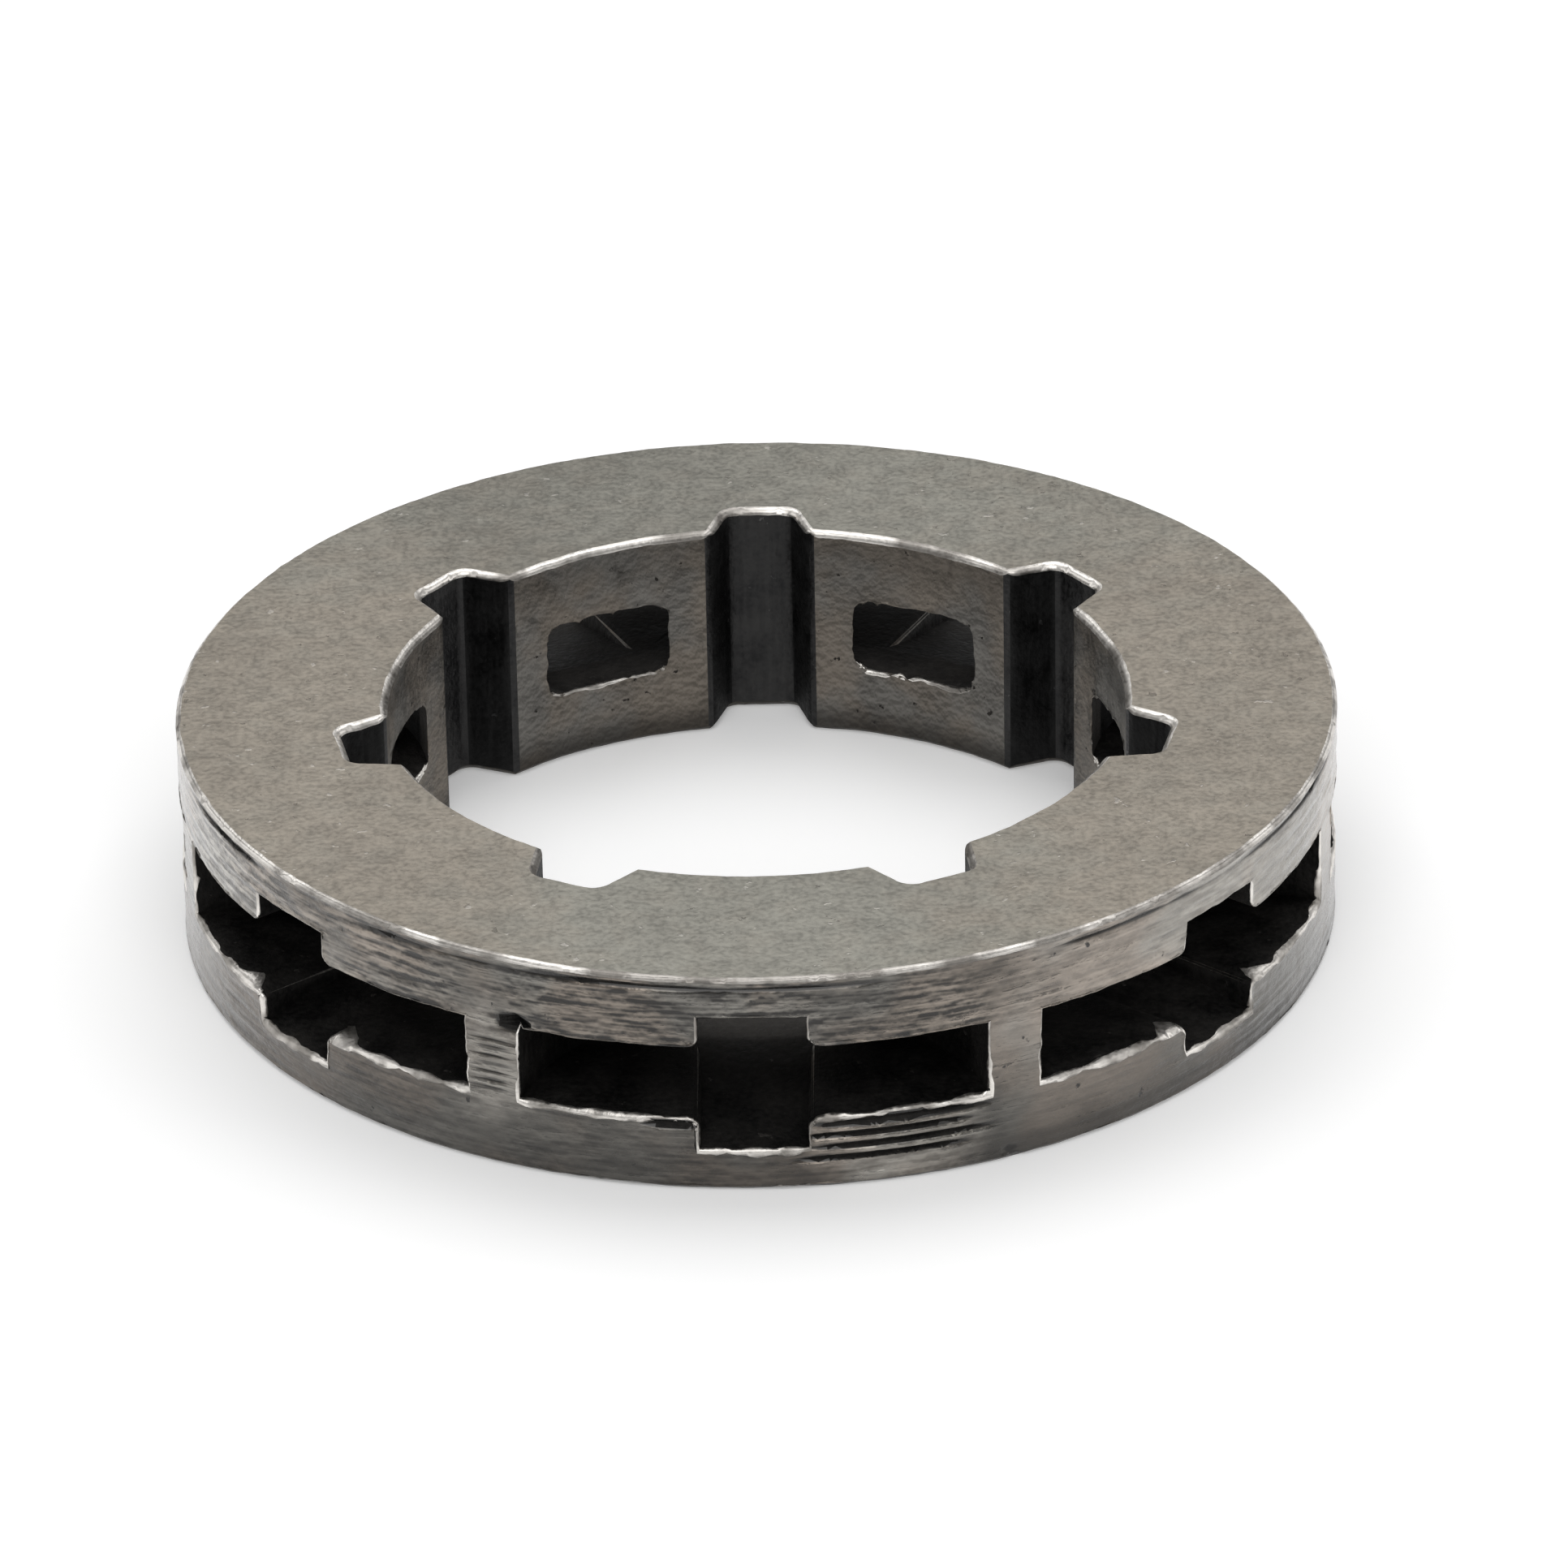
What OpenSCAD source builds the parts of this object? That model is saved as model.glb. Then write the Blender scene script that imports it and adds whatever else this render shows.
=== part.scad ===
// Drive sprocket of the floating rim kind, for a saw chain: one piece of sintered steel.
// The splined bore slides on the hub of a clutch drum. The chain's side links ride on the
// outside of the rim, and its drive links drop into the pockets, against the teeth between them.
// The bottom face lies on z = 0, the axis is Z, and one pocket faces -Y.

/* [Rim] */
// Outside diameter of the rim
rim_od = 34.6; // [33.6:0.1:38]
// Thickness of the rim from face to face
rim_t = 6.9; // [6:0.1:9]
// Edge break on the two outer edges
rim_break = 0.15; // [0.05:0.05:0.4]

/* [Bore and spline] */
// Bore diameter, across the lands between the spline slots
bore_d = 22; // [21:0.1:22.6]
// Number of spline slots
splines = 7; // [5:1:9]
// Twice the distance from the axis to the flat root of a slot
spline_root_d = 24.9; // [24.6:0.1:26]
// Width of a slot across its root, measured at sharp corners
spline_root_w = 2; // [1.6:0.1:2.4]
// Width of a slot where it meets the bore, measured at sharp corners
spline_mouth_w = 3; // [2.8:0.1:3.6]
// Fillet in the two root corners of a slot
spline_fillet = 0.4; // [0.1:0.05:0.5]
// Rounding of the two mouth corners of a slot
spline_round = 0.6; // [0.4:0.05:0.8]
// Edge break round the bore and the slots, on both faces
bore_break = 0.2; // [0.05:0.05:0.25]

/* [Pockets] */
// Number of teeth, and of pockets between them
teeth = 7; // [6:1:9]
// Width of a tooth at the outside of the rim
tooth_w = 1.75; // [1.2:0.05:3]
// Width of the window where a pocket breaks into the bore
window_w = 4; // [3:0.1:5]
// Height of the slot that takes the drive link
slot_h = 2.35; // [1.6:0.05:3]
// Width of the notch in the middle of the pocket
notch_w = 3.1; // [2.4:0.1:4]
// Height of the notch at the outside of the rim
notch_h = 4.35; // [3.4:0.05:5]
// Diameter at which the notch has tapered down to the slot
notch_end_d = 24.8; // [24:0.1:30]
// Rounding of the corners between the notch and the slot
notch_round = 0.35; // [0.1:0.05:0.6]

/* [Hidden] */
$fn = 120;
steel = [0.55, 0.53, 0.50];

// How far a cut runs past the face that it opens
past = 1;
// The same for an edge break
skim = 0.05;
// The edge break is this much deeper in the slot's root corners, so that its faces cross there
corner_sink = 0.01;

rim_r = rim_od / 2;
bore_r = bore_d / 2;
spline_pitch = 360 / splines;
pocket_pitch = 360 / teeth;

// One spline slot lies along +Y, and these points are on its +X side.
root_y = spline_root_d / 2;
root_corner = [spline_root_w / 2, root_y];
mouth_corner = [spline_mouth_w / 2, sqrt(bore_r ^ 2 - (spline_mouth_w / 2) ^ 2)];
// Angle of the slot's wall to the slot's own axis
flank_a = atan2(mouth_corner.x - root_corner.x, root_corner.y - mouth_corner.y);
// Down the wall from root to mouth, and from the slot into the metal
flank_dir = [sin(flank_a), -cos(flank_a)];
into_metal = [cos(flank_a), sin(flank_a)];
// Root fillet: its centre touches the root and the wall
fillet_c = [
    root_corner.x - spline_fillet * (1 - sin(flank_a)) / cos(flank_a),
    root_y - spline_fillet
];
fillet_end = fillet_c + spline_fillet * into_metal;
// Mouth rounding: its centre lies in the metal, clear of the wall and the bore by its radius
round_start = root_corner + spline_round * into_metal;
round_along = round_start * flank_dir;
round_travel = -round_along
    - sqrt(round_along ^ 2 - round_start * round_start + (bore_r + spline_round) ^ 2);
round_c = round_start + round_travel * flank_dir;
round_on_wall = round_c - spline_round * into_metal;
round_on_bore = round_c * bore_r / (bore_r + spline_round);

// A pocket's slot is part of a round disc. It is centred on the pocket's axis and passes through
// the tooth's corner at the outside and the window's edge at the bore.
pocket_half_a = pocket_pitch / 2 - asin(tooth_w / 2 / rim_r);
window_y = sqrt(bore_r ^ 2 - (window_w / 2) ^ 2);
pocket_c = (rim_r ^ 2 - bore_r ^ 2) / (2 * (rim_r * cos(pocket_half_a) - window_y));
pocket_r = norm([rim_r * sin(pocket_half_a), rim_r * cos(pocket_half_a) - pocket_c]);

// The notch narrows in height from the outside inwards
notch_end_r = notch_end_d / 2;
notch_slope = (notch_h - slot_h) / 2 / (rim_r - notch_end_r);

module both_sides() {
    children();
    mirror([1, 0, 0]) children();
}

// Solid disc with its outer edges broken
module blank() {
    rotate_extrude()
        polygon([
            [0, 0],
            [rim_r - rim_break, 0],
            [rim_r, rim_break],
            [rim_r, rim_t - rim_break],
            [rim_r - rim_break, rim_t],
            [0, rim_t]
        ]);
}

// One spline slot in plan, joined to the middle of the bore
module spline_slot_plan() {
    both_sides() {
        polygon([[0, root_y], [fillet_c.x, root_y], fillet_end, mouth_corner, [0, 0]]);
        translate(fillet_c) circle(r = spline_fillet);
        difference() {
            polygon([round_on_wall, round_c, round_on_bore, [0, bore_r / 2]]);
            translate(round_c) circle(r = spline_round);
        }
    }
}

module splined_bore() {
    translate([0, 0, -past])
        linear_extrude(rim_t + 2 * past) {
            circle(r = bore_r);
            for (i = [0 : splines - 1]) rotate(i * spline_pitch) spline_slot_plan();
        }
}

// Section of an edge break: x runs into the metal from the wall, y runs up from the foot of the break
module break_section() {
    polygon([
        [-bore_break, -bore_break],
        [bore_break + skim, bore_break + skim],
        [-bore_break, bore_break + skim]
    ]);
}

// Edge break round one spline slot, from its foot upwards. Along the walls it runs straight on
// past the mouth, so that it meets the bore's own edge break over the rounded corner.
module spline_slot_break() {
    translate([0, root_y, 0])
        rotate([90, 0, 90])
            linear_extrude(2 * fillet_c.x, center = true) break_section();
    both_sides() {
        translate(fillet_end)
            rotate([90, 0, flank_a])
                linear_extrude(norm(round_on_wall - fillet_end) + spline_round) break_section();
        translate([fillet_c.x, fillet_c.y, -corner_sink])
            cylinder(r1 = spline_fillet, r2 = spline_fillet + bore_break + skim, h = bore_break + skim);
    }
}

// Edge break round the whole bore on the top face
module bore_edge_break() {
    translate([0, 0, rim_t - bore_break]) {
        cylinder(r1 = bore_r, r2 = bore_r + bore_break + skim, h = bore_break + skim);
        for (i = [0 : splines - 1]) rotate(i * spline_pitch) spline_slot_break();
    }
}

// Notch seen from outside along the pocket's axis, with its corners to the slot rounded
module notch_section() {
    corner = [notch_w / 2 + notch_round, slot_h / 2 + notch_round];
    square([notch_w, rim_t], center = true);
    difference() {
        square(2 * corner, center = true);
        for (sx = [-1, 1], sy = [-1, 1])
            translate([sx * corner.x, sy * corner.y]) circle(r = notch_round);
    }
}

// Notch seen from the side: it tapers inwards to the height of the slot
module notch_taper() {
    outer_r = rim_r + past;
    outer_half_h = slot_h / 2 + notch_slope * (outer_r - notch_end_r);
    polygon([
        [notch_end_r, -slot_h / 2],
        [outer_r, -outer_half_h],
        [outer_r, outer_half_h],
        [notch_end_r, slot_h / 2]
    ]);
}

// One pocket, facing -Y
module pocket() {
    translate([0, 0, rim_t / 2]) {
        translate([0, -pocket_c, 0]) cylinder(r = pocket_r, h = slot_h, center = true);
        intersection() {
            rotate([90, 0, 0]) linear_extrude(rim_r + past) notch_section();
            rotate([90, 0, -90]) linear_extrude(rim_od, center = true) notch_taper();
        }
    }
}

module rim_sprocket() {
    color(steel)
        difference() {
            blank();
            splined_bore();
            bore_edge_break();
            translate([0, 0, rim_t]) mirror([0, 0, 1]) bore_edge_break();
            for (i = [0 : teeth - 1]) rotate(i * pocket_pitch) pocket();
        }
}

rim_sprocket();
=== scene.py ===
"""Looks of a rim drive sprocket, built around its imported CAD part. Lengths are in metres."""

import math

import bmesh
import bpy
from mathutils import Matrix, Vector, noise


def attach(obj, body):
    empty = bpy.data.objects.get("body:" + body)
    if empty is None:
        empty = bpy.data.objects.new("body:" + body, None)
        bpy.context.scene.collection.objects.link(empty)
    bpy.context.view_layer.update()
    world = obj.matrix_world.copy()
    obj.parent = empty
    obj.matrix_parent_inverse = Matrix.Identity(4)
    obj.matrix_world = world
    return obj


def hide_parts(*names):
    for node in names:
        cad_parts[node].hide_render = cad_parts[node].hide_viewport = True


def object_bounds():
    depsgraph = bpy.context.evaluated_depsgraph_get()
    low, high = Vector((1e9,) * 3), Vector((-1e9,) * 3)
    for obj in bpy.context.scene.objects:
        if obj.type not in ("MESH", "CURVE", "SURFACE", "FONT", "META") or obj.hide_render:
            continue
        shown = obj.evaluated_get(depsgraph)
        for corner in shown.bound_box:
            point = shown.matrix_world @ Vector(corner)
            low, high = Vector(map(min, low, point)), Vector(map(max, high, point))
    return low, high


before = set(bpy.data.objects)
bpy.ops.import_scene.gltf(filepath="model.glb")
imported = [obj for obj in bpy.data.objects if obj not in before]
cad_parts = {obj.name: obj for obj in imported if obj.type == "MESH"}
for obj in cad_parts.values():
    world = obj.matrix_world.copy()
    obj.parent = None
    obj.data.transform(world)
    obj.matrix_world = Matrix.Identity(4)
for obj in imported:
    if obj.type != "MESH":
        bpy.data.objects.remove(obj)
cad_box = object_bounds()
scene = bpy.context.scene

MM = 0.001
# The CAD rim's outer radius and thickness, from its box, to the nearest micrometre
RIM_R, RIM_T = round(cad_box[1][0], 6), round(cad_box[1][2], 6)
# Other sizes of the CAD rim, by which its surfaces are told apart
BORE_R = 11.0 * MM
POCKETS = 7
# Half width and half height of the window where a pocket breaks into the bore, and the radius of its corners
WINDOW_W, WINDOW_H, WINDOW_ROUND = 2.0 * MM, 1.175 * MM, 0.45 * MM
# From the middle of the rim's height: halfway between a slot's floor and its notch's floor
NOTCH_LOW = 1.7 * MM
# The bore's lips and edges lie inside the first radius, and those of the outside lie outside the second
BORE_LIPS, OUTER_LIPS = 13 * MM, 15 * MM
# The spline slots lie inside this radius, and within this angle of a tooth's middle, in degrees
SPLINE_R, SPLINE_HALF = 12.7 * MM, 9.5

# An edge is sharp when its faces turn by more than this, in degrees
SHARP = 28
# Length of the pieces that sharp edges are cut into, so that they can be made uneven
EDGE_PIECE = 0.18 * MM
# How far the pockets' lips are rounded, before that is made uneven
LIP_ROUND = 0.055 * MM
# Least area by which a face's normal counts in a corner's shading
LEAST_AREA = 1e-14
# Material index of the rounded faces, until each face gets that of its zone
ROUNDED = 1
# Burrs on the lower lips of the pockets beside the front one, in degrees: angles from the front, half width
BURRS, BURR_HALF = (-58.5, -44.5, 44.5, 58), 3.5

# Knocks on the outside: angle from the front in degrees, height, half width, half height and depth. First a
# nick over the front pocket's left end, a dent in the lower edge and a dent under that pocket's left lip
KNOCKS = [
    (-23.7, 4.77 * MM, 0.3 * MM, 0.2 * MM, 0.55 * MM),
    (25.6, 0.32 * MM, 0.25 * MM, 0.2 * MM, 0.14 * MM),
    (-7.8, 2.08 * MM, 0.75 * MM, 0.1 * MM, 0.2 * MM),
]
# Grooves that a worn tool tore into the outside right of the front pocket's notch, and finer ones on the
# tooth left of that pocket
KNOCKS += [(a, z * MM, 2.5 * MM, h * MM, 0.16 * MM)
           for a, z, h in ((14.4, 2.04, 0.11), (12.6, 1.67, 0.075), (14.1, 1.3, 0.08), (12.4, 0.93, 0.07))]
KNOCKS += [(-25.8, (2.45 + 0.27 * k) * MM, 0.75 * MM, 0.055 * MM, 0.06 * MM) for k in range(7)]

# The rim's surfaces, in the order of its materials
FACE, OUTSIDE, LAND, SPLINE, WALL, POCKET, EDGE = range(7)


# Points of the rim

def wander(p, size, seed):
    """Smooth noise from -1 to 1 at a point, with features of that size."""
    return noise.noise(Vector(p) / size + Vector((seed * 7.1, seed * 3.7, seed * 5.3)))


def radius(p):
    """Distance of a point from the axis."""
    return math.hypot(p.x, p.y)


def outward(p):
    """Direction at a point, level and away from the axis."""
    return Vector((p.x, p.y, 0)).normalized()


def front_angle(p):
    """Angle of a point round the axis in degrees, from the front."""
    return math.degrees(math.atan2(p.x, -p.y))


def from_face(p):
    """Distance of a point from the nearer of the two faces."""
    return min(p.z, RIM_T - p.z)


def in_break(p):
    """True in the edge breaks that the CAD part has at its outer edges and round its bore."""
    return from_face(p) < 0.26 * MM and (radius(p) > RIM_R - 0.2 * MM or radius(p) < BORE_LIPS)


def facing(faces):
    """Sum of the faces' normals, each times its area."""
    return sum((f.normal * f.calc_area() for f in faces), Vector())


# Form of the rim, with its edges worn

def split_edge(e, parts):
    """Cuts an edge into that many equal parts."""
    v = e.verts[0]
    for k in range(parts, 1, -1):
        _, v = bmesh.utils.edge_split(e, v, 1 / k)


def sharp_edges(bm):
    return [e for e in bm.edges if e.calc_face_angle(0) > math.radians(SHARP)]


def clean_solid(cad):
    """The CAD solid with whole faces and with its sharp edges cut into short pieces."""
    bm = bmesh.new()
    bm.from_mesh(cad.data)
    bmesh.ops.remove_doubles(bm, verts=bm.verts, dist=0.02 * MM)
    bmesh.ops.dissolve_limit(bm, angle_limit=math.radians(0.3), verts=bm.verts[:], edges=bm.edges[:])
    bm.normal_update()
    for e in sharp_edges(bm):
        split_edge(e, math.ceil(e.calc_length() / EDGE_PIECE))
    bm.normal_update()
    return bm


def roughen_breaks(bm):
    """Makes the edge breaks uneven: each of their borders wanders in the face beside it."""
    for v in bm.verts:
        if not in_break(v.co):
            continue
        size = (0.045 if radius(v.co) > OUTER_LIPS else 0.05) * MM
        step = size * (0.7 * wander(v.co, 1.1 * MM, 1) + 0.5 * wander(v.co, 0.35 * MM, 2))
        if from_face(v.co) < 0.01 * MM:
            v.co += outward(v.co) * step
        else:
            v.co.z += step


def mark_lips(bm):
    """Marks the pockets' edges at the outside and at the bore for rounding, and gives their points."""
    worn = bm.edges.layers.float.new("bevel_weight_edge")
    lips = set()
    for e in sharp_edges(bm):
        mid = (e.verts[0].co + e.verts[1].co) / 2
        inside = BORE_R + 0.05 * MM < radius(mid) < RIM_R - 0.05 * MM
        if not inside and not in_break(mid):
            e[worn] = 1
            lips.update(e.verts)
    return lips


def round_window(v):
    """Moves a point of a window's outline at the bore so that the window's corners are round."""
    r = radius(v.co)
    off = (front_angle(v.co) + 180 / POCKETS) % (360 / POCKETS) - 180 / POCKETS
    across, rise = r * math.sin(math.radians(off)), v.co.z - RIM_T / 2
    from_side, from_end = WINDOW_W - abs(across), WINDOW_H - abs(rise)
    bend = math.radians(45) * max(0, 1 - max(from_side, from_end) / WINDOW_ROUND)
    if bend == 0:
        return
    along, inward = WINDOW_ROUND * (1 - math.sin(bend)), WINDOW_ROUND * (1 - math.cos(bend))
    if from_side < from_end:
        along, inward = inward, along
    turn = math.asin(math.copysign(WINDOW_W - along, across) / r) + math.radians(front_angle(v.co) - off)
    rise = math.copysign(WINDOW_H - inward, rise)
    v.co = Vector((r * math.sin(turn), -r * math.cos(turn), RIM_T / 2 + rise))


def roughen_lips(lips):
    """Rounds the windows' corners, and lets all lips wander a little, up and down and sideways."""
    for v in lips:
        r = radius(v.co)
        if r < BORE_LIPS:
            round_window(v)
        size = (0.07 if r < BORE_LIPS else 0.035) * MM
        sideways = Vector((-v.co.y, v.co.x, 0)) / r
        v.co.z += size * (0.6 * wander(v.co, 0.9 * MM, 3) + 0.6 * wander(v.co, 0.3 * MM, 4))
        v.co += sideways * size * (0.6 * wander(v.co, 0.9 * MM, 11) + 0.6 * wander(v.co, 0.3 * MM, 12))


def lip_reach(v, n):
    """How far the worn edge at a border point may run out over the face beside it, which has the normal n."""
    low = v.co.z < RIM_T / 2
    # At the bore
    if radius(v.co) < BORE_LIPS:
        return (0.16 if low else 0.06) * MM
    # On a notch's floor
    if n.z > 0.95 and abs(v.co.z - RIM_T / 2) > NOTCH_LOW:
        return (0.07 + 0.25 * max(0, wander(v.co, 5 * MM, 52))) * MM
    # Elsewhere at the outside
    burr = max(max(0, 1 - abs(front_angle(v.co) - a) / BURR_HALF) for a in BURRS)
    return (0.17 + (0.65 * burr if n.z > 0.9 else 0) if low else 0.05) * MM


def widen(bm):
    """Makes the rounded edges uneven: their borders move back over the faces beside them, here more and
    there less."""
    bm.normal_update()
    moves = {}
    for v in bm.verts:
        soft = [f for f in v.link_faces if f.material_index == ROUNDED]
        hard = [f for f in v.link_faces if f.material_index != ROUNDED]
        if not soft or not hard:
            continue
        n, m = facing(hard).normalized(), facing(soft)
        away = n * m.dot(n) - m
        if away.length > 0:
            amount = 0.45 + 0.8 * wander(v.co, 0.8 * MM, 5) + 0.35 * wander(v.co, 0.28 * MM, 6)
            amount = min(1, max(0, amount))
            moves[v] = away.normalized() * lip_reach(v, n) * amount
            # On the pockets' floors a bead stands up along the outer lip
            if n.z > 0.9 and radius(v.co) > OUTER_LIPS:
                moves[v].z += 0.08 * MM * amount
    # The points between two borders follow them
    for v in bm.verts:
        if v not in moves and any(f.material_index == ROUNDED for f in v.link_faces):
            near = [moves[w] for w in (e.other_vert(v) for e in v.link_edges) if w in moves]
            if near:
                v.co += sum(near, Vector()) / len(near) * 0.75
    for v, step in moves.items():
        v.co += step


def rounded(bm):
    """The form with its marked edges rounded unevenly. Rounded faces have a material index of their own."""
    plain = bpy.data.meshes.new("rim_form")
    bm.to_mesh(plain)
    bm.free()
    holder = bpy.data.objects.new("rim_form", plain)
    scene.collection.objects.link(holder)
    # Empty material slots, so that the rounded faces can have an index of their own
    for _ in range(ROUNDED + 1):
        plain.materials.append(None)
    bevel = holder.modifiers.new("worn", "BEVEL")
    bevel.limit_method = "WEIGHT"
    bevel.width = LIP_ROUND
    bevel.segments = 2
    bevel.profile = 0.5
    bevel.use_clamp_overlap = False
    bevel.material = ROUNDED
    done = bpy.data.meshes.new_from_object(holder.evaluated_get(bpy.context.evaluated_depsgraph_get()))
    bpy.data.objects.remove(holder)
    bpy.data.meshes.remove(plain)
    out = bmesh.new()
    out.from_mesh(done)
    bpy.data.meshes.remove(done)
    widen(out)
    out.normal_update()
    return out


def worn_form(cad):
    """The CAD solid with uneven edge breaks, and with its other edges at the outside and the bore worn."""
    bm = clean_solid(cad)
    roughen_breaks(bm)
    roughen_lips(mark_lips(bm))
    return rounded(bm)


# Surfaces of the rim

def zone(f):
    """Which of the rim's surfaces a face belongs to."""
    if f.material_index == ROUNDED:
        return EDGE
    c, n = f.calc_center_median(), f.normal
    if abs(n.z) > 0.97 and from_face(c) < 0.1 * MM:
        return FACE
    r = radius(c)
    # Cosine of the angle between the face's normal and the way out from the axis
    faces_out = (c.x * n.x + c.y * n.y) / r
    if in_break(c) and 0.2 < abs(n.z):
        return EDGE
    if r > RIM_R - 0.1 * MM and faces_out > 0.8:
        return OUTSIDE
    if r < BORE_R + 0.1 * MM and faces_out < -0.93:
        return LAND
    turn = math.atan2(c.x, c.y) % (2 * math.pi / POCKETS)
    from_tooth = min(turn, 2 * math.pi / POCKETS - turn)
    if r < SPLINE_R and abs(n.z) < 0.3 and from_tooth < math.radians(SPLINE_HALF):
        return SPLINE if faces_out < -0.8 else WALL
    return POCKET


def cut_up(bm, kind, rows, columns):
    """Gives a zone points to move: cuts its faces along level planes and along planes through the axis."""
    planes = [((0, 0, RIM_T * k / rows), (0, 0, 1)) for k in range(1, rows)]
    for k in range(columns // 2):
        a = 2 * math.pi * (k + 0.5) / columns
        planes.append(((0, 0, 0), (math.cos(a), math.sin(a), 0)))
    parts = set()
    for f in bm.faces:
        if f.material_index == kind:
            parts.update((f, *f.edges, *f.verts))
    parts = list(parts)
    for point, normal in planes:
        cut = bmesh.ops.bisect_plane(bm, geom=parts, plane_co=point, plane_no=normal, dist=0.012 * MM)
        parts = cut["geom"]
    bm.normal_update()


def true_up(bm):
    """Puts the points of the outside back on its cylinder, which the CAD part's flat facets only follow."""
    for v in bm.verts:
        if all(f.material_index == OUTSIDE for f in v.link_faces):
            v.co.x, v.co.y = v.co.xy.normalized() * RIM_R


def sink(bm, kind, depth):
    """Sinks the points inside a zone into the metal by depth(point). Points on the zone's border stay."""
    moves = []
    for v in bm.verts:
        if all(f.material_index == kind for f in v.link_faces):
            moves.append((v, facing(v.link_faces).normalized() * depth(v.co)))
    for v, step in moves:
        v.co -= step


def turning(p):
    """Depth of the tool's ridges at a point on the outside: lines around it, deeper in some places."""
    around = Vector((p.x / (4 * MM), p.y / (4 * MM), p.z / (0.17 * MM)))
    fine = Vector((p.x / (1.2 * MM), p.y / (1.2 * MM), p.z / (0.2 * MM)))
    upper = min(1, max(0, (p.z - 4.2 * MM) / (0.8 * MM)))
    strong = 0.3 + 0.5 * upper + max(0, 1.5 * wander((p.x, p.y, 2 * p.z), 4.5 * MM, 7))
    lines = 0.7 * noise.noise(around) + 0.6 * noise.noise(fine + Vector((3, 8, 5)))
    # The groove that the tool left under the upper edge
    beside = (RIM_T - p.z - 0.36 * MM) / (0.07 * MM)
    groove = math.exp(-beside ** 2) * max(0, 0.45 + wander(p, 5 * MM, 8))
    return 0.045 * MM * max(0, 0.5 + strong * lines) + 0.12 * MM * groove


def casting(p):
    """Depth of the rough cast skin at a point on a land: broad hollows and small pits."""
    hollow = 0.5 + 0.5 * wander(p, 1.3 * MM, 9)
    pit = max(0, wander(p, 0.5 * MM, 10) - 0.2)
    return 0.03 * MM * hollow + 0.1 * MM * pit


def knocked(p):
    """How far the knocks push a point on the outside inwards."""
    a = front_angle(p)
    total = 0
    for at, height, half_width, half_height, depth in KNOCKS:
        across = math.radians(a - at) * RIM_R / half_width
        along = (p.z - height) / half_height
        total += depth * math.exp(-(across ** 4 + along ** 2))
    return total


def knock(bm):
    for v in bm.verts:
        if radius(v.co) > RIM_R - 0.25 * MM:
            v.co -= outward(v.co) * knocked(v.co)


def shown(f):
    """The zone whose steel a face shows. As painted shade, edges take darker steel instead of their bright
    one where they face down or lie deep in the bore.
    """
    c, n = f.calc_center_median(), f.normal
    r = radius(c)
    if f.material_index == EDGE and r > OUTER_LIPS and n.z < -0.25:
        return OUTSIDE
    if f.material_index == EDGE and r < BORE_LIPS and n.z < 0.25 and (c.z < RIM_T / 2 or not in_break(c)):
        return LAND
    # Painted shade: the bottom of a deep knock takes the pockets' black steel
    if f.material_index == OUTSIDE and r < RIM_R - 0.085 * MM:
        return POCKET
    # Painted light: the middle of the rounding between a slot's floor and its notch takes the paler land
    # steel near the bore
    if f.material_index == POCKET and 0.6 < n.z < 0.8 and r < 14.5 * MM:
        return LAND
    return f.material_index


def corner_normals(bm):
    """A normal for each corner: a main face keeps its own shape's normals, and a rounded or broken edge takes
    those of the faces that it joins, so that it shades as round."""
    found = []
    for f in bm.faces:
        mine = f.material_index == EDGE
        # Cosine of the widest turn between this face and one that shares its shading
        limit = 0.2 if mine else 0.77
        for loop in f.loops:
            main = [g for g in loop.vert.link_faces if g.material_index != EDGE]
            near = [g for g in main if g.normal.dot(f.normal) > limit] or ([] if mine else [f])
            near = near or list(loop.vert.link_faces)
            total = Vector((0, 0, 0))
            for g in near:
                total += g.normal * max(g.calc_area(), LEAST_AREA)
            found.append(total.normalized() if total.length > 0 else f.normal.copy())
    return found


def rim_mesh(cad):
    """The rim: the CAD solid with worn edges, a turned and knocked outside and cast lands."""
    bm = worn_form(cad)
    for f, kind in [(f, zone(f)) for f in bm.faces]:
        f.material_index = kind
    cut_up(bm, OUTSIDE, rows=92, columns=30 * POCKETS)
    cut_up(bm, LAND, rows=38, columns=40 * POCKETS)
    true_up(bm)
    sink(bm, OUTSIDE, turning)
    sink(bm, LAND, casting)
    knock(bm)
    bmesh.ops.triangulate(bm, faces=bm.faces[:], quad_method="BEAUTY", ngon_method="BEAUTY")
    bm.normal_update()
    normals = corner_normals(bm)
    for f in bm.faces:
        f.material_index = shown(f)
        f.smooth = True
    mesh = bpy.data.meshes.new("rim")
    bm.to_mesh(mesh)
    bm.free()
    mesh.normals_split_custom_set(normals)
    return mesh


# Materials

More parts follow.
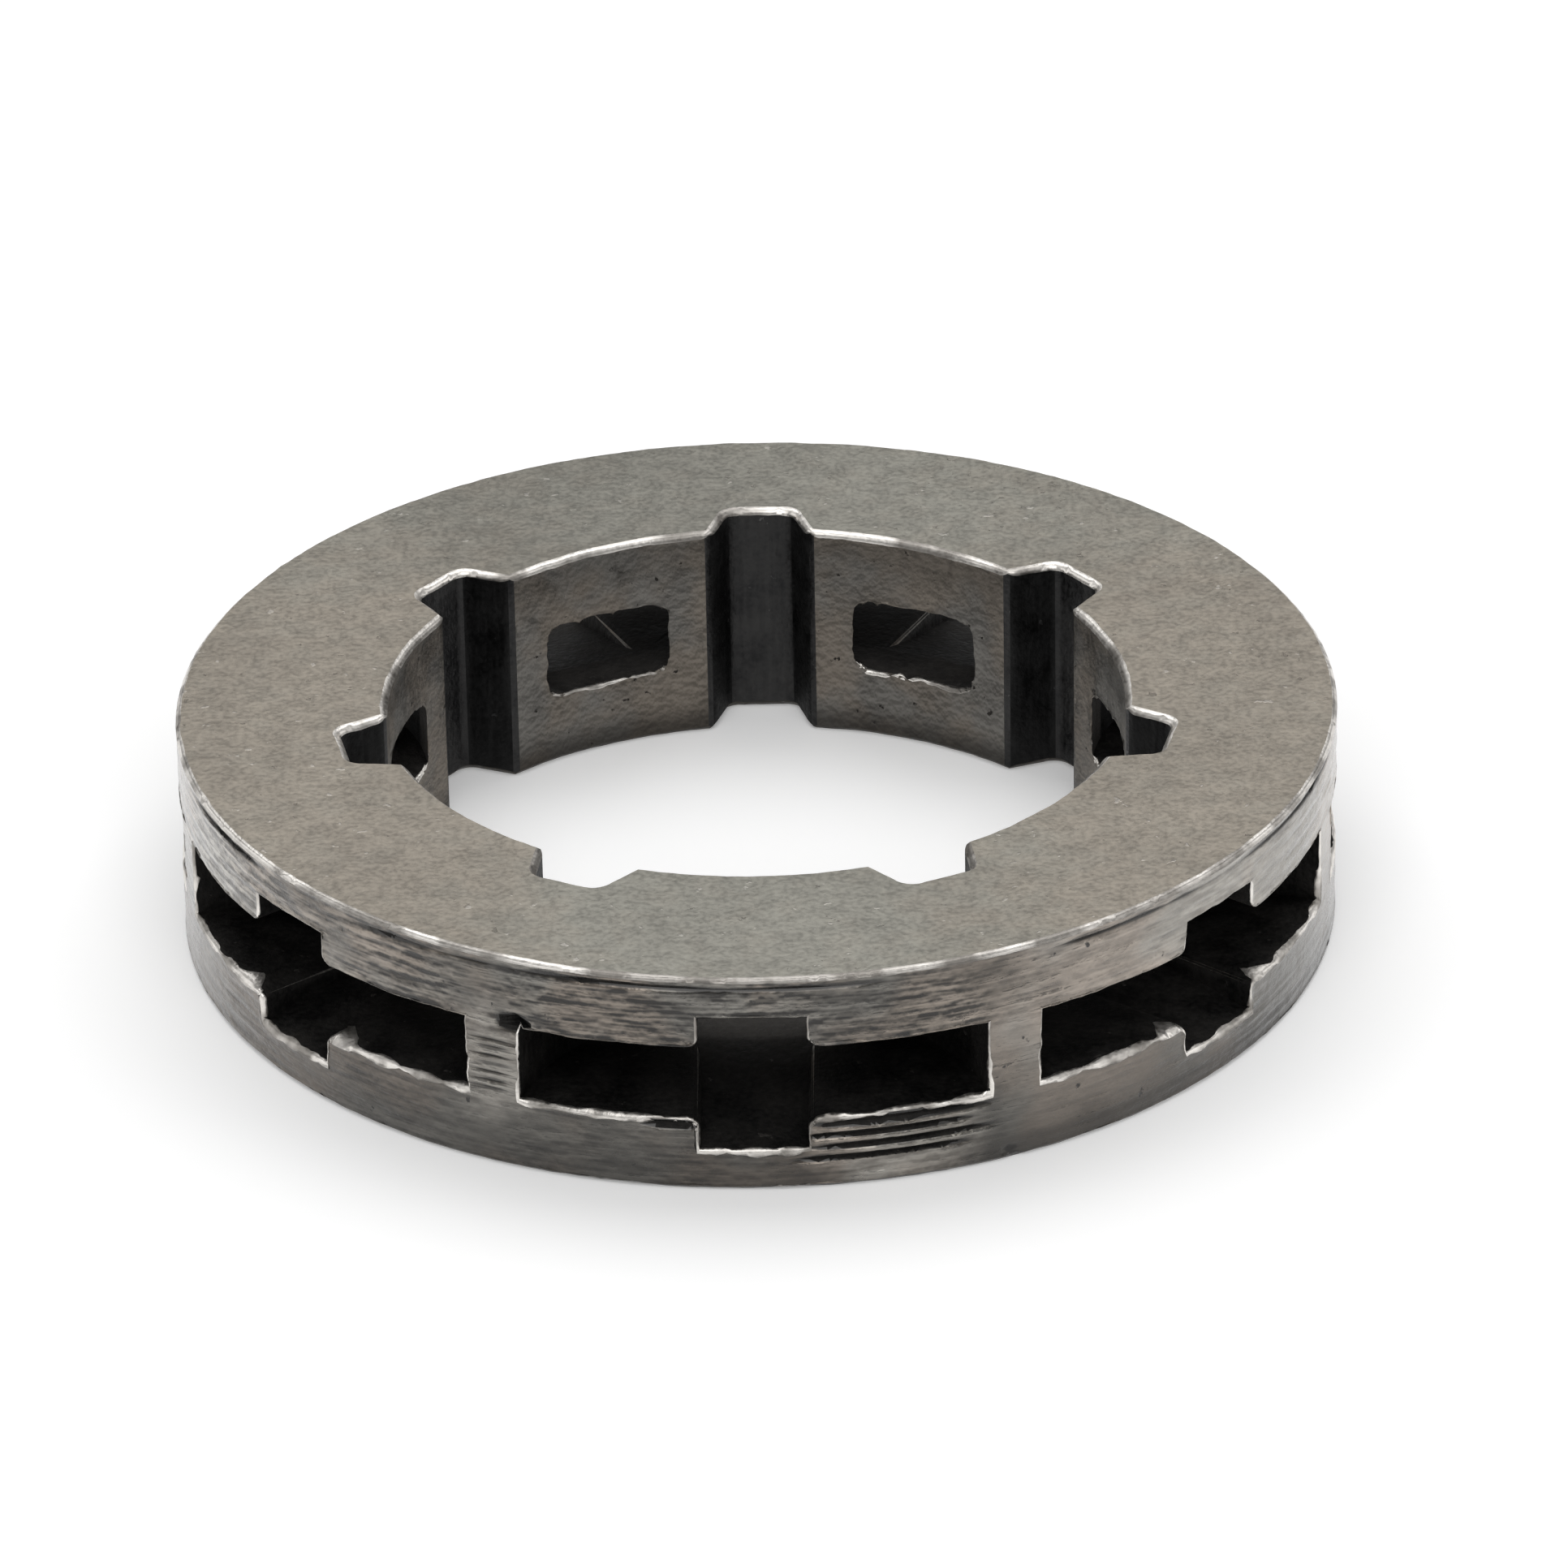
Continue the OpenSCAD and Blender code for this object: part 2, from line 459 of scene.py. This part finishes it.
class Nodes:
    """Short ways to build a node tree. Lengths are in metres, in the rim's own coordinates."""

    def __init__(self, tree):
        self.tree = tree

    def add(self, kind, inputs, output=0, **settings):
        """Adds a node, sets or links its inputs, and gives one of its outputs."""
        made = self.tree.nodes.new("ShaderNode" + kind)
        for name, value in settings.items():
            setattr(made, name, value)
        for name, value in inputs.items():
            self.put(made.inputs[name], value)
        return made.outputs[output]

    def put(self, socket, value):
        if isinstance(value, bpy.types.NodeSocket):
            self.tree.links.new(value, socket)
        else:
            socket.default_value = value

    def math(self, operation, a, b):
        return self.add("Math", {0: a, 1: b}, operation=operation)

    def total(self, *parts):
        """Sum of values, each times its weight."""
        result = None
        for value, weight in parts:
            part = self.math("MULTIPLY", value, weight)
            result = part if result is None else self.math("ADD", result, part)
        return result

    def fit(self, value, low, high, start=0.0, end=1.0):
        """Takes a value smoothly from one range to another, and holds it at the ends."""
        ends = {"Value": value, "From Min": low, "From Max": high, "To Min": start, "To Max": end}
        return self.add("MapRange", ends, interpolation_type="SMOOTHSTEP")

    def mix(self, factor, a, b):
        """Colour between a, at 0, and b, at 1."""
        colours = [c if isinstance(c, bpy.types.NodeSocket) else (*c, 1) for c in (a, b)]
        return self.add("Mix", {0: factor, 6: colours[0], 7: colours[1]}, output=2, data_type="RGBA")

    def where(self, seed, stretch, rise):
        """The point's coordinates, shifted by the seed and by a rise, with the axes stretched."""
        here = self.add("TexCoord", {}, output="Object")
        scale = [1 / s for s in stretch]
        shift = (0.013 * seed, 0.007 * seed, 0.011 * seed + rise)
        return self.add("Mapping", {"Vector": here, "Location": shift, "Scale": scale})

    def noise(self, size, seed, detail=3, stretch=(1, 1, 1), rise=0):
        """Noise from about 0.3 to 0.7 with features of that size, made longer by stretch along the axes, and
        taken from that much higher up."""
        vector = self.where(seed, stretch, rise)
        return self.add("TexNoise", {"Vector": vector, "Scale": 1 / size, "Detail": detail})

    def ridges(self, size, seed, around):
        """Height of ridges around the axis, and how far each of their points faces up, from 0 to 1, which the
        colours use as painted light and shade from above.
        """
        stretch = (around, around, 1)
        height = self.noise(size, seed, 3, stretch)
        above = self.noise(size, seed, 3, stretch, rise=0.35 * size)
        return height, self.fit(self.math("SUBTRACT", height, above), -0.16, 0.16)

    def flecks(self, size, seed, level):
        """1 in uneven flecks of that size and 0 elsewhere. A higher level, from 0.2 to 0.45, gives more."""
        return self.fit(self.noise(size, seed, 3), level - 0.05, level, 1, 0)

    def at(self, axis):
        """Coordinate of the point along an axis, 0 for X to 2 for Z."""
        return self.add("SeparateXYZ", {0: self.add("TexCoord", {}, output="Object")}, output=axis)

    def from_axis(self):
        """Distance of the point from the rim's axis."""
        flat = self.add("CombineXYZ", {"X": self.at(0), "Y": self.at(1)})
        return self.add("VectorMath", {0: flat}, output="Value", operation="LENGTH")

    def wobble(self, size, seed, reach):
        """An uneven length, by which the border of a stain can be shifted."""
        return self.math("MULTIPLY", self.math("SUBTRACT", self.noise(size, seed, 3), 0.5), reach)

    def spot(self, centre, radius, seed):
        """1 at a point, fading to 0 at that distance from it, with an uneven outline."""
        here = self.add("TexCoord", {}, output="Object")
        away = self.add("VectorMath", {0: here, 1: centre}, output="Value", operation="DISTANCE")
        uneven = self.total((away, 1.0), (self.noise(0.5 * radius, seed, 3), radius), (1.0, -0.5 * radius))
        return self.fit(uneven, 0.3 * radius, radius, 1, 0)


class Steel(Nodes):
    """One finish of the rim's steel."""

    def __init__(self, name):
        self.material = bpy.data.materials.new(name)
        self.material.use_nodes = True
        super().__init__(self.material.node_tree)
        self.bsdf = self.tree.nodes["Principled BSDF"]
        self.set("Metallic", 1.0)

    def set(self, socket, value):
        self.put(self.bsdf.inputs[socket], value)

    def relief(self, height):
        """Bump from a height in millimetres."""
        self.set("Normal", self.add("Bump", {"Height": height, "Distance": MM, "Strength": 1}))


def ground_face():
    """The two faces: dull ground steel, mottled grey, stained brown at the sides, with grain, pits and bright
    flecks."""
    s = Steel("steel_face")
    wobble = s.wobble(5 * MM, 3, 9 * MM)
    sideways = s.fit(s.math("ADD", s.math("ABSOLUTE", s.at(0), 0.0), wobble), 3 * MM, 10 * MM)
    forward = s.fit(s.math("ADD", s.at(1), wobble), 4 * MM, 13 * MM, 1, 0.25)
    tint = s.fit(s.noise(1.1 * MM, 1, 3), 0.35, 0.65, -0.15, 0.15)
    stain = s.math("ADD", s.math("MULTIPLY", sideways, forward), tint)
    dim = s.spot((-6 * MM, 13 * MM, RIM_T), 9 * MM, 8)
    blotches = s.fit(s.noise(5 * MM, 2, 2), 0.35, 0.65)
    mottle = s.fit(s.noise(0.75 * MM, 4, 4), 0.32, 0.68)
    grain = s.fit(s.noise(0.17 * MM, 5, 3), 0.28, 0.72)
    tone = s.total((mottle, 0.25), (grain, 0.5), (blotches, 0.2), (1.0, 0.04), (dim, -0.3))
    grey = s.mix(tone, (0.28, 0.272, 0.24), (0.42, 0.408, 0.36))
    brown = s.mix(tone, (0.31, 0.28, 0.238), (0.465, 0.42, 0.357))
    # Pits lie all over, and thicker in a scuff at the back
    scuff = s.spot((7.5 * MM, 13 * MM, RIM_T), 4 * MM, 9)
    scuffed = s.math("MULTIPLY", scuff, s.flecks(0.22 * MM, 10, 0.34))
    pits = s.math("MAXIMUM", s.flecks(0.4 * MM, 6, 0.3), scuffed)
    glints = s.flecks(0.45 * MM, 7, 0.31)
    colour = s.mix(s.math("MULTIPLY", pits, 0.5), s.mix(stain, grey, brown), (0.12, 0.11, 0.1))
    s.set("Base Color", s.mix(s.math("MULTIPLY", glints, 0.5), colour, (0.62, 0.59, 0.55)))
    s.set("Roughness", s.total((mottle, 0.05), (grain, 0.1), (pits, 0.15), (1.0, 0.38)))
    s.relief(s.total((mottle, 0.004), (grain, 0.003), (pits, -0.02), (glints, 0.008)))
    return s.material


def turned_outside():
    """The outside: turned steel with torn ridges around it, painted light on their upper flanks and painted
    shade under them, stains, painted light at the sides, painted shade low down and in hollows, and a film of
    oil."""
    s = Steel("steel_outside")
    lines, line_painted_light = s.ridges(0.2 * MM, 11, 12)
    crumbs, crumb_painted_light = s.ridges(0.42 * MM, 14, 1.7)
    patches = s.fit(s.noise(2.6 * MM, 13, 4), 0.32, 0.68)
    # The upper part is torn more than the lower one, and the right side less than the rest
    upper = s.fit(s.at(2), 3.8 * MM, 4.8 * MM, 0.4, 1)
    torn = s.math("MULTIPLY", upper, s.fit(s.noise(3 * MM, 18, 2), 0.35, 0.6, 0.45, 1))
    torn = s.math("MULTIPLY", torn, s.fit(s.at(0), 5 * MM, 9.5 * MM, 1, 0.3))
    # Painted light and shade: the ridges' upper flanks are lighter and their undersides darker, as if lit
    # from above
    up = s.total((line_painted_light, 0.5), (crumb_painted_light, 0.5), (1.0, -0.5))
    tone = s.total((s.math("MULTIPLY", up, torn), 1.6), (patches, 0.24), (1.0, 0.34))
    brown = s.fit(s.noise(4 * MM, 15, 2), 0.4, 0.56)
    oiled = s.mix(tone, (0.01, 0.008, 0.006), s.mix(brown, (0.19, 0.18, 0.16), (0.215, 0.182, 0.15)))
    bare_and_lit_colour = s.mix(tone, (0.078, 0.067, 0.055), s.mix(brown, (0.45, 0.428, 0.386), (0.49, 0.425, 0.362)))
    # Painted light: the sides, most of all on the upper part, take the paler bare colour as if more light
    # fell there. The metal is also bare round the torn grooves and on the tooth left of the front pocket
    across = s.math("ADD", s.at(0), s.wobble(4 * MM, 17, 10 * MM))
    lit_sides = s.math("MAXIMUM", s.fit(across, 5 * MM, 10 * MM), s.fit(across, -16 * MM, -10.5 * MM, 0.9, 0))
    bare_and_lit_mask = s.math("MULTIPLY", lit_sides, s.fit(s.at(2), 2 * MM, 4.5 * MM, 0.35, 1))
    grooved = s.spot((4.2 * MM, -16.8 * MM, 1.6 * MM), 3.4 * MM, 19)
    tooth = s.spot((-7.5 * MM, -15.6 * MM, 3.4 * MM), 2.4 * MM, 20)
    bare_and_lit_mask = s.math("MAXIMUM", bare_and_lit_mask, s.total((grooved, 1.0), (tooth, 0.9)))
    # Painted shade lies along the lower edge, thick right of the middle and thin round the grooves, and in
    # deep hollows. Dirt lies in pits
    lower_shade = s.math("MULTIPLY", s.fit(s.at(2), 0.5 * MM, 1.1 * MM, 0.7, 0), s.fit(across, 0, 4 * MM))
    lower_shade = s.math("MAXIMUM", lower_shade, s.fit(s.at(2), 0.5 * MM, 2.8 * MM, 0.35, 0))
    lower_shade = s.math("MULTIPLY", lower_shade, s.total((grooved, -0.9), (1.0, 1.0)))
    pits = s.flecks(0.5 * MM, 16, 0.3)
    hollow = s.fit(s.math("SUBTRACT", RIM_R, s.from_axis()), 0.03 * MM, 0.08 * MM)
    darkened = s.math("MAXIMUM", s.math("MAXIMUM", hollow, pits), lower_shade)
    s.set("Base Color", s.mix(darkened, s.mix(bare_and_lit_mask, oiled, bare_and_lit_colour), (0.022, 0.02, 0.018)))
    s.set("Roughness", s.total((patches, 0.1), (lines, 0.08), (hollow, 0.25), (1.0, 0.2)))
    s.relief(s.total((lines, 0.07), (crumbs, 0.12), (pits, -0.04)))
    s.set("Coat Weight", 0.85)
    s.set("Coat IOR", 1.55)
    s.set("Coat Roughness", 0.2)
    return s.material


def cast_land():
    """The lands of the bore: cast skin, dull and pitted, brown and grey, with painted light on the tops of
    its grains and painted shade under them, and darker towards the bottom and the top.
    """
    s = Steel("steel_land")
    patches = s.fit(s.noise(1.3 * MM, 21, 4), 0.32, 0.68)
    skin, skin_painted_light = s.ridges(0.22 * MM, 22, 1.2)
    brown = s.fit(s.noise(3 * MM, 23, 3), 0.42, 0.58)
    # Painted light and shade: the skin's grains are lighter where they face up and darker under them
    tone = s.total((patches, 0.4), (skin_painted_light, 0.5), (1.0, 0.17))
    grey = s.mix(tone, (0.052, 0.049, 0.045), (0.22, 0.211, 0.195))
    warm = s.mix(tone, (0.056, 0.05, 0.042), (0.243, 0.215, 0.184))
    pits = s.flecks(0.35 * MM, 24, 0.32)
    low = s.fit(s.at(2), 0.2 * MM, 1.3 * MM, 0.75, 0)
    high = s.fit(s.at(2), 4.8 * MM, 6.6 * MM, 0, 0.3)
    darkened = s.math("MAXIMUM", pits, s.math("MAXIMUM", low, high))
    s.set("Base Color", s.mix(darkened, s.mix(brown, grey, warm), (0.035, 0.032, 0.029)))
    s.set("Roughness", s.total((patches, 0.16), (skin, 0.12), (1.0, 0.36)))
    s.relief(s.total((patches, 0.02), (skin, 0.04), (pits, -0.04)))
    return s.material


def dark_scale(name, seed, dull, pale, roughness, lit_radius=0):
    """Black scale in the spline slots and pockets, with faint draw lines down it. Painted light makes it
    paler nearer the axis than the radius given, where light comes in from the bore."""
    s = Steel(name)
    patches = s.fit(s.noise(1.4 * MM, seed, 4), 0.32, 0.68)
    lines = s.fit(s.noise(0.22 * MM, seed + 1, 2, (1, 1, 9)), 0.3, 0.7)
    grain = s.fit(s.noise(0.18 * MM, seed + 2, 3), 0.3, 0.7)
    glints = s.flecks(0.4 * MM, seed + 3, 0.3)
    tone = s.total((patches, 0.5), (lines, 0.2), (grain, 0.3))
    scale = s.mix(glints, s.mix(tone, dull, pale), [1.8 * c for c in pale])
    # Painted light: paler near the bore, where light comes in
    painted_inner_lighting = s.fit(s.from_axis(), lit_radius - 0.2 * MM, lit_radius + 0.2 * MM, 0.6, 0)
    s.set("Base Color", s.mix(painted_inner_lighting, scale, s.mix(tone, pale, [2.5 * c for c in pale])))
    s.set("Roughness", s.total((patches, 0.14), (grain, 0.1), (1.0, roughness)))
    s.relief(s.total((patches, 0.012), (lines, 0.008), (grain, 0.012), (glints, 0.015)))
    return s.material


def worn_edge():
    """Edges rubbed bright, with darker stretches where they are not, and painted shade at the front."""
    s = Steel("steel_edge")
    worn = s.fit(s.noise(1.5 * MM, 41, 4), 0.36, 0.58)
    grain = s.fit(s.noise(0.14 * MM, 42, 3), 0.3, 0.7)
    # Painted shade: the outer edge and the bore's edge are dulled at the front
    front_edge_shade = s.spot((0, -RIM_R, RIM_T), 7 * MM, 43)
    near_bore = s.fit(s.from_axis(), BORE_LIPS, BORE_LIPS + MM, 1, 0)
    painted_inner_lighting = s.math("MULTIPLY", near_bore, s.fit(s.at(1), -8 * MM, -5 * MM, 1, 0))
    tone = s.total((worn, 0.85), (grain, 0.15), (s.math("MAXIMUM", front_edge_shade, painted_inner_lighting), -0.7))
    s.set("Base Color", s.mix(tone, (0.28, 0.262, 0.24), (0.9, 0.865, 0.815)))
    s.set("Roughness", s.total((worn, -0.1), (grain, 0.12), (1.0, 0.42)))
    s.relief(s.total((worn, 0.015), (grain, 0.004)))
    return s.material


def rim_steels():
    """The rim's finishes, in the order of its zones."""
    return [
        ground_face(),
        turned_outside(),
        cast_land(),
        dark_scale("steel_spline", 51, dull=(0.02, 0.02, 0.021), pale=(0.073, 0.072, 0.071), roughness=0.42),
        dark_scale("steel_wall", 71, dull=(0.01, 0.01, 0.01), pale=(0.035, 0.035, 0.035), roughness=0.5),
        dark_scale("steel_pocket", 61, dull=(0.016, 0.016, 0.016), pale=(0.05, 0.047, 0.044), roughness=0.58,
                   lit_radius=12.5 * MM),
        worn_edge(),
    ]


# Floor, light and camera

def seen(nodes):
    """1 for the rays that show a surface to the camera, straight or in metal or glass, and 0 for the rays
    that light."""
    path = nodes.add("LightPath", {}, output="Is Camera Ray")
    outputs = path.node.outputs
    mirrored = nodes.math("MAXIMUM", outputs["Is Glossy Ray"], outputs["Is Transmission Ray"])
    return nodes.math("MAXIMUM", path, mirrored)


def paper():
    """Lit paper, with a little added for the camera so that it is white where no shadow falls on it."""
    material = bpy.data.materials.new("paper")
    material.use_nodes = True
    nodes = Nodes(material.node_tree)
    bsdf = material.node_tree.nodes["Principled BSDF"]
    bsdf.inputs["Base Color"].default_value = (0.9, 0.9, 0.9, 1)
    bsdf.inputs["Roughness"].default_value = 0.9
    bsdf.inputs["Specular IOR Level"].default_value = 0.1
    lift = nodes.math("MULTIPLY", seen(nodes), 0.2)
    glow = nodes.add("Emission", {"Color": (1, 1, 1, 1), "Strength": lift})
    both = nodes.add("AddShader", {0: bsdf.outputs[0], 1: glow})
    nodes.put(material.node_tree.nodes["Material Output"].inputs["Surface"], both)
    return material


def add_floor():
    mesh = bpy.data.meshes.new("floor")
    disc = bmesh.new()
    bmesh.ops.create_circle(disc, cap_ends=True, segments=96, radius=4)
    disc.to_mesh(mesh)
    disc.free()
    mesh.materials.append(paper())
    floor = bpy.data.objects.new("floor", mesh)
    # Just clear of the rim's bottom face, so that the two planes don't mix
    floor.location.z = -0.01 * MM
    scene.collection.objects.link(floor)


def add_world():
    world = bpy.data.worlds.new("studio")
    world.use_nodes = True
    background = world.node_tree.nodes["Background"]
    background.inputs["Color"].default_value = (1, 1, 1, 1)
    background.inputs["Strength"].default_value = 0.25
    scene.world = world


def add_softbox(name, place, size, radiance):
    """Adds a rectangular lamp that looks at the rim."""
    light = bpy.data.lights.new(name, "AREA")
    light.shape = "RECTANGLE"
    light.size, light.size_y = size
    light.energy = radiance * math.pi * size[0] * size[1]
    box = bpy.data.objects.new(name, light)
    box.location = place
    box.rotation_euler = (-Vector(place)).to_track_quat("-Z", "Y").to_euler()
    scene.collection.objects.link(box)


def add_camera():
    """Adds the camera where the photograph's perspective puts it."""
    # Fitted to the outlines of the rim and the bore in the photograph, with the place in rim radii
    yaw, pitch, roll = 0.0009, 0.4903, -0.0189
    place = Vector((0.0315, -15.1622, 8.3197)) * RIM_R
    forward = Vector((math.sin(yaw) * math.cos(pitch), math.cos(yaw) * math.cos(pitch), -math.sin(pitch)))
    level = Vector((math.cos(yaw), -math.sin(yaw), 0))
    upward = level.cross(forward)
    right = level * math.cos(roll) + upward * math.sin(roll)
    up = -level * math.sin(roll) + upward * math.cos(roll)
    pose = Matrix((right, up, -forward)).transposed().to_4x4()
    pose.translation = place
    camera = bpy.data.cameras.new("camera")
    camera.sensor_width = 36
    camera.lens = 227.94
    camera.clip_start, camera.clip_end = 0.01, 20
    eye = bpy.data.objects.new("camera", camera)
    # The rim in the photograph is turned a little from the frame's axes
    eye.matrix_world = Matrix.Rotation(math.radians(0.9), 4, "Z") @ pose
    scene.collection.objects.link(eye)
    scene.camera = eye


mesh = rim_mesh(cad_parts["rim_sprocket"])
for steel in rim_steels():
    mesh.materials.append(steel)
rim = bpy.data.objects.new("rim", mesh)
scene.collection.objects.link(rim)
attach(rim, "root")
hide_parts("rim_sprocket")

add_floor()
add_world()
add_softbox("back", place=(0, 0.34, 0.68), size=(0.9, 0.55), radiance=2.0)
add_softbox("front", place=(0, -0.62, 0.68), size=(0.8, 0.9), radiance=1.8)
add_softbox("right", place=(0.7, 0, 0.25), size=(0.6, 0.4), radiance=1.2)
add_softbox("left", place=(-0.7, 0, 0.25), size=(0.6, 0.4), radiance=1.0)
add_camera()
scene.view_settings.view_transform = "Standard"
